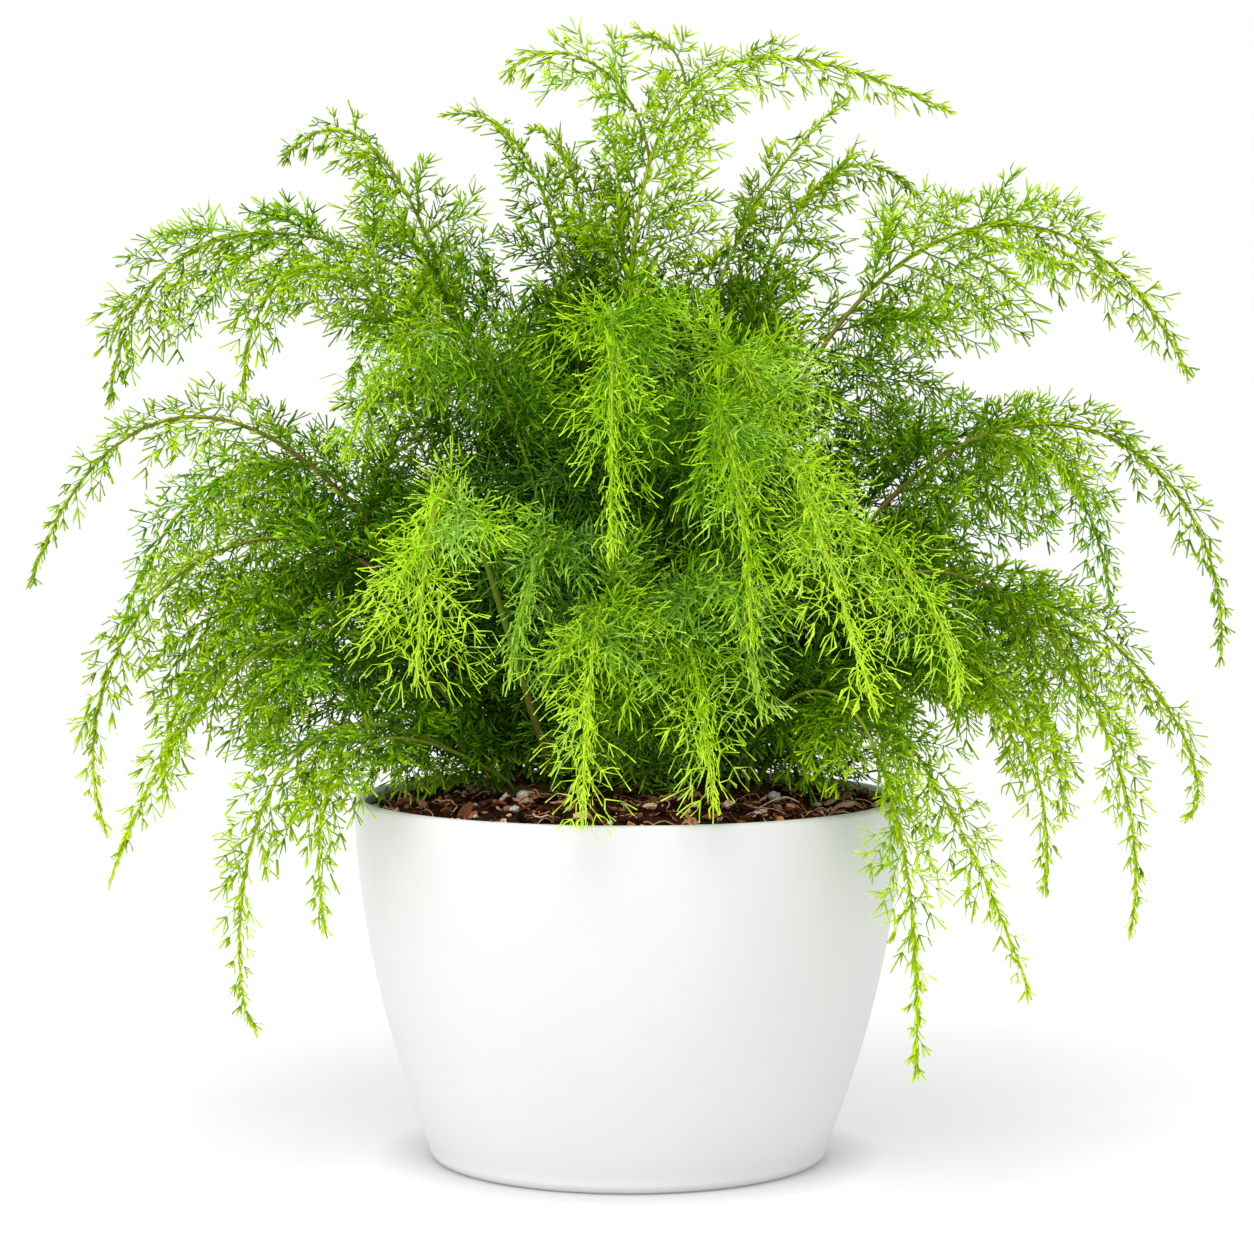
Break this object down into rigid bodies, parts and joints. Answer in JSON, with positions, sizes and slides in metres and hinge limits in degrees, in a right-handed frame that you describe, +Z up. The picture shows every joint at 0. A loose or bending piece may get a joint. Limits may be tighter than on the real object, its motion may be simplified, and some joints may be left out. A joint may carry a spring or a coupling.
{
  "type": "potted asparagus fern",
  "caption": "Bushy asparagus fern with arching, feathery fronds that rise from one crown in a plain white round planter filled with bark and coir potting mix.",
  "frame": {"origin": "middle of the planter's flat foot, on the surface that it stands on", "axes": "+Z up, +X to the right and -Y to the front of the plant, as pictured"},
  "size_m": [0.3511, 0.2507, 0.3329],
  "materials": {
    "pot": "smooth white, soft satin sheen",
    "potting_mix": "damp dark reddish-brown bark, coir fibre and peat, rough",
    "root_crown": "woody, fibrous, matt",
    "frond": "living green needles on thin wiry green to brown stems, slightly waxy",
    "perlite": "off-white, porous, matt"
  },
  "bodies": {
    "root": {"pot": "pot", "potting_mix": "potting_mix", "root_crown": "root_crown", "frond_left_1": "frond", "frond_left_2": "frond", "frond_left_3": "frond", "frond_left_4": "frond", "frond_left_5": "frond", "frond_left_6": "frond", "frond_left_7": "frond", "frond_right_1": "frond", "frond_right_2": "frond", "frond_right_3": "frond", "frond_right_4": "frond", "frond_right_5": "frond", "frond_right_6": "frond", "frond_right_7": "frond", "frond_top_1": "frond", "frond_top_2": "frond", "frond_top_3": "frond", "frond_top_4": "frond", "frond_top_5": "frond", "frond_front_1": "frond", "frond_front_2": "frond", "frond_front_3": "frond", "frond_front_4": "frond", "frond_front_5": "frond", "frond_front_6": "frond", "frond_front_7": "frond", "frond_front_8": "frond", "frond_front_9": "frond", "frond_front_10": "frond", "frond_middle_1": "frond", "frond_middle_2": "frond", "frond_back_1": "frond", "frond_back_2": "frond", "frond_back_3": "frond", "frond_back_4": "frond", "frond_back_5": "frond", "frond_back_6": "frond", "frond_back_7": "frond", "frond_back_8": "frond", "frond_back_9": "frond", "frond_back_10": "frond", "frond_back_11": "frond", "frond_back_12": "frond", "perlite_1": "perlite", "perlite_2": "perlite", "perlite_3": "perlite", "perlite_4": "perlite", "perlite_5": "perlite", "perlite_6": "perlite", "perlite_7": "perlite", "perlite_8": "perlite", "perlite_9": "perlite", "perlite_10": "perlite", "perlite_11": "perlite"}
  },
  "joints": []
}
